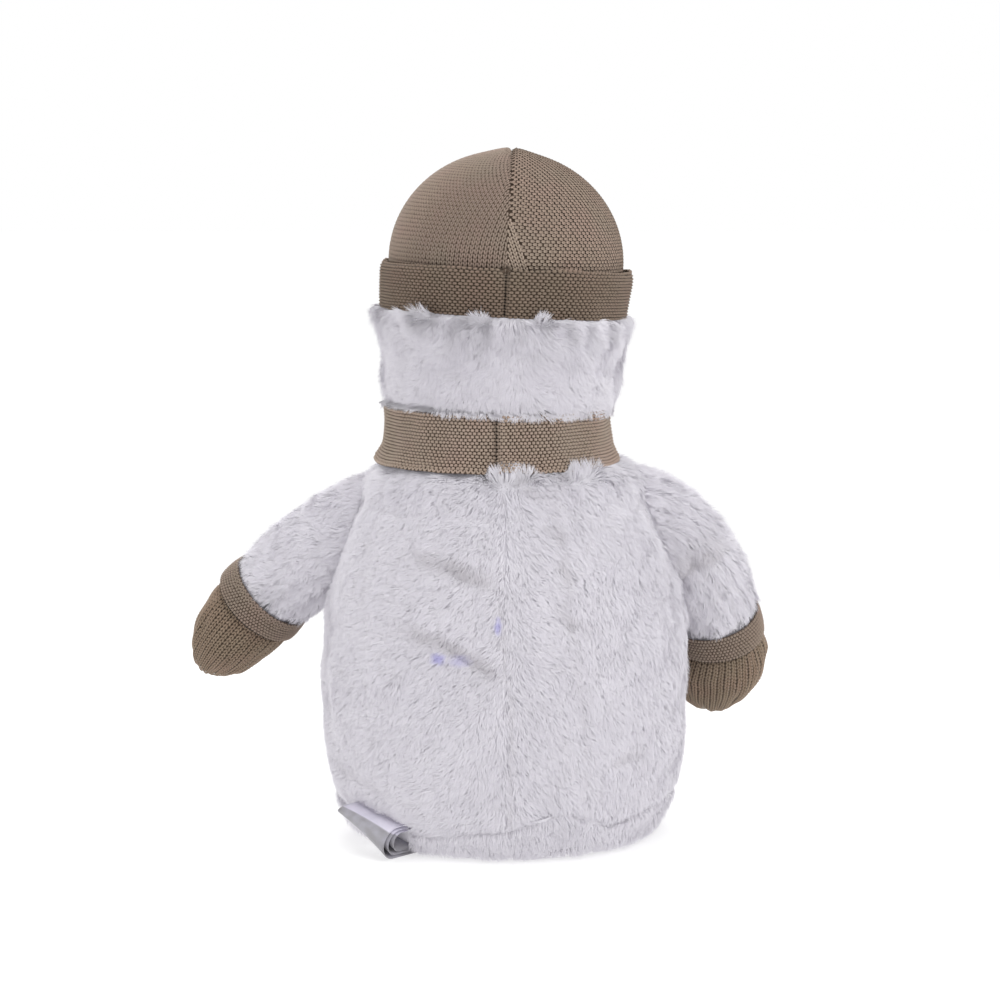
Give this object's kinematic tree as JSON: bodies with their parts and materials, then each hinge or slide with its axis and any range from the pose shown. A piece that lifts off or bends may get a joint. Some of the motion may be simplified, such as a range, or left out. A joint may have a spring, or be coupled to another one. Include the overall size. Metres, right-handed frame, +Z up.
{
  "type": "plush snowman toy",
  "caption": "Seated stuffed snowman of white faux fur with a knitted hat, scarf and mittens, a carrot nose and ribbon labels.",
  "frame": {"origin": "centre of the flat base that the toy sits on", "axes": "+Z up from the base to the top of the hat, -Y the way the face looks, +X the toy's own left side"},
  "size_m": [0.2583, 0.1502, 0.2995],
  "materials": {
    "fur": "short dense white faux fur pile",
    "stuffing": "polyester fibre stuffing, hidden",
    "knit": "fine taupe plain knit",
    "felt": "orange felt, stuffed",
    "eye": "polished black plastic",
    "button": "satin dark brown plastic",
    "ribbon": "white satin ribbon"
  },
  "bodies": {
    "root": {"body_back_left": "fur", "body_back_right": "fur", "body_front": "fur", "body_base": "fur", "body_stuffing": "stuffing", "head_back_left": "fur", "head_back_right": "fur", "head_face": "fur", "head_stuffing": "stuffing", "hat_crown_left": "knit", "hat_crown_right": "knit", "hat_brim": "knit", "scarf_band": "knit", "scarf_knot": "knit", "scarf_tail_left": "knit", "scarf_tail_right": "knit", "arm_left_sleeve": "fur", "arm_left_stuffing": "stuffing", "arm_right_sleeve": "fur", "arm_right_stuffing": "stuffing", "mitten_left": "knit", "mitten_right": "knit", "cuff_left": "knit", "cuff_right": "knit", "eye_left": "eye", "eye_right": "eye", "nose": "felt", "button_upper": "button", "button_lower": "button", "label_outer": "ribbon", "label_middle": "ribbon", "label_inner": "ribbon"}
  },
  "joints": []
}
